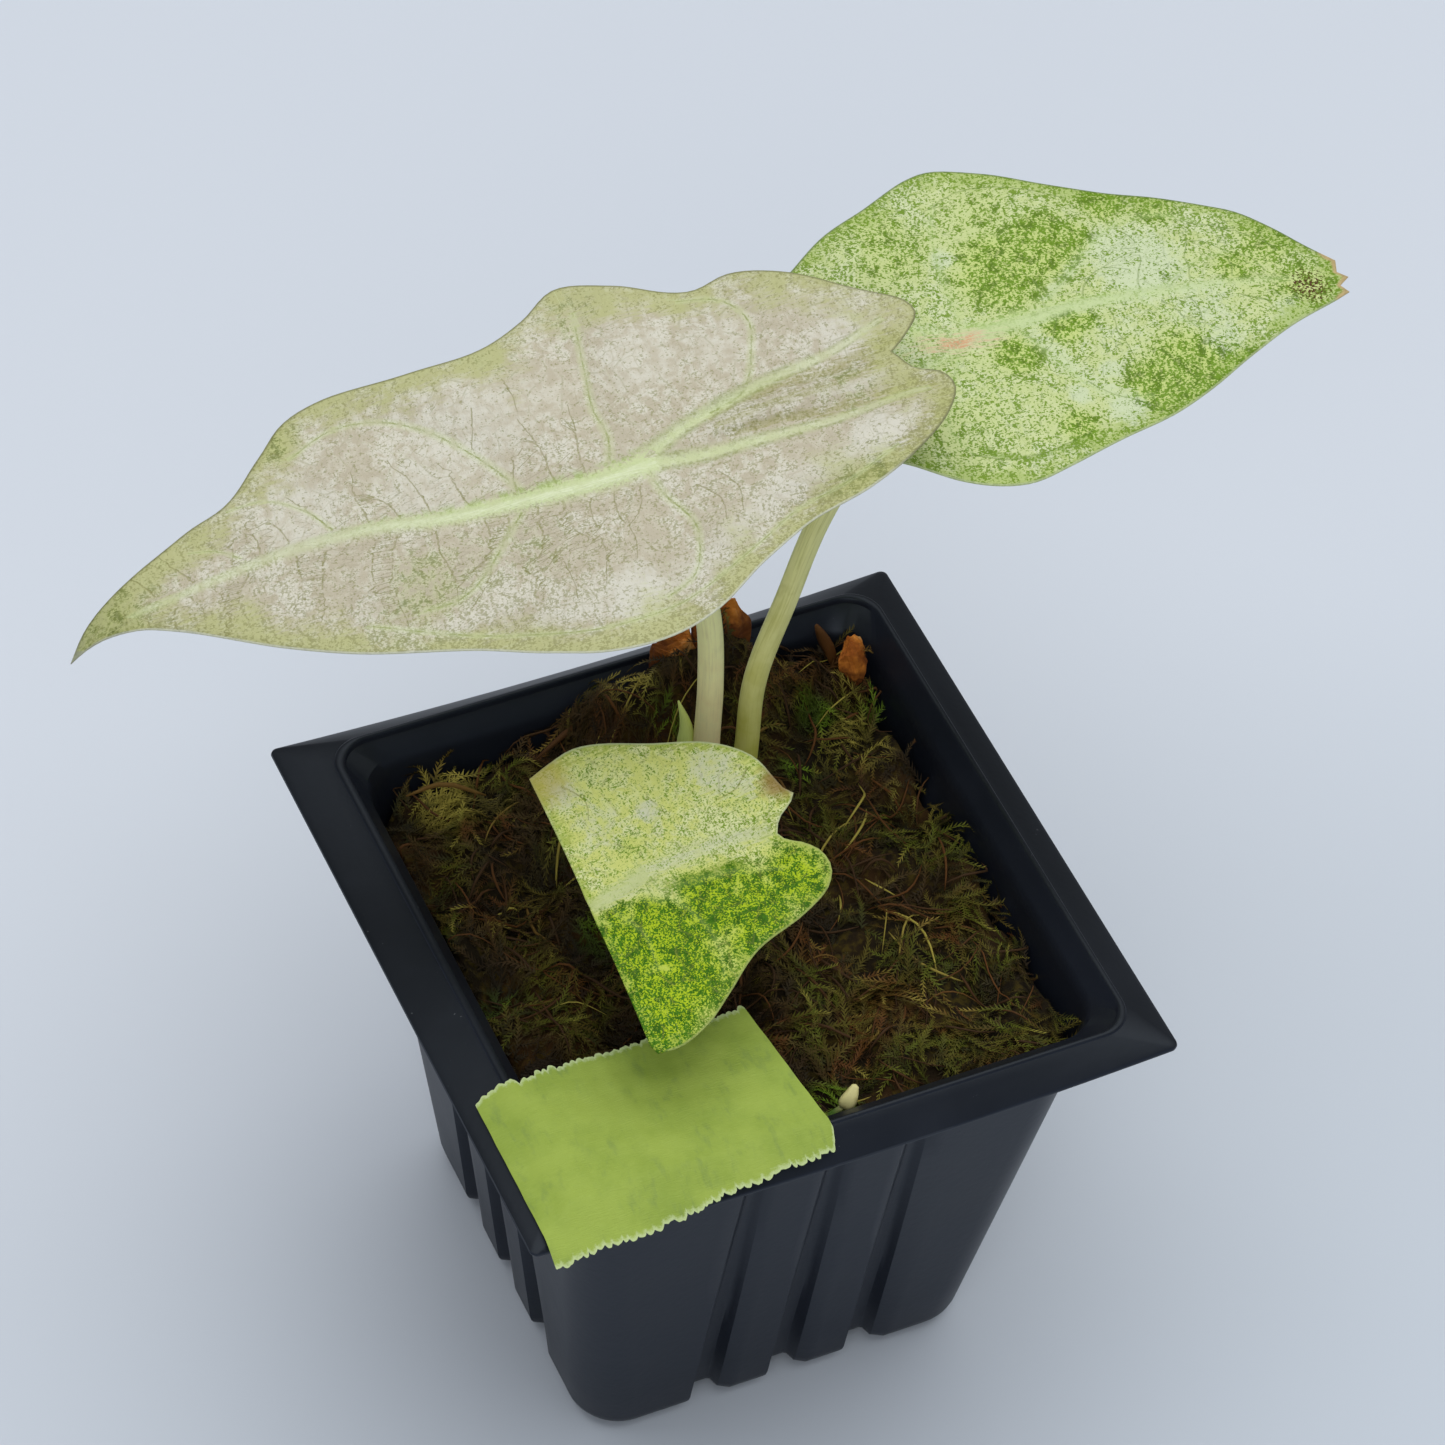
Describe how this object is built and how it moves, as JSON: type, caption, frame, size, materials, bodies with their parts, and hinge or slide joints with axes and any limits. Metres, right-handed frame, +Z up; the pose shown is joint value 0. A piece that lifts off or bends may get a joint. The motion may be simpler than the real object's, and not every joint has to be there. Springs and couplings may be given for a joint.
{
  "type": "potted variegated alocasia",
  "caption": "Young variegated alocasia with arrow shaped pale leaves on bent stalks, growing from moss in a square black nursery pot with a strip of green label tape.",
  "frame": {"origin": "centre of the face that the pot stands on", "axes": "+Z up, +X along the pot's front side to the right and to the right leaf's tip, +Y to the back of the pot"},
  "size_m": [0.1727, 0.1038, 0.1377],
  "materials": {
    "pot_plastic": "satin black with a faint sheen",
    "mix": "crumbly, dark and moist",
    "moss": "fibrous, olive and brown",
    "corm": "matt",
    "leaf_cream": "soft satin, pinkish cream with pale green veins",
    "leaf_mint": "soft satin, mint with green speckles",
    "leaf_green": "soft satin, green and mint speckles",
    "stalk_cream": "smooth satin, cream green",
    "stalk_green": "smooth satin, yellow green",
    "shoot": "smooth satin, fresh green",
    "tape": "matt lime green",
    "bark": "rough, orange brown",
    "bud": "matt, pale"
  },
  "bodies": {
    "root": {"pot": "pot_plastic", "potting_mix": "mix", "corm_and_roots": "corm", "moss_top": "moss", "petiole_left": "stalk_cream", "petiole_right": "stalk_green", "petiole_front": "stalk_green", "new_shoot": "shoot", "leaf_left": "leaf_cream", "leaf_right": "leaf_mint", "leaf_front": "leaf_green", "label_tape": "tape", "bark_chip_back": "bark", "bark_chip_side": "bark", "bark_chip_corner": "bark", "moss_sprout": "bud"}
  },
  "joints": []
}
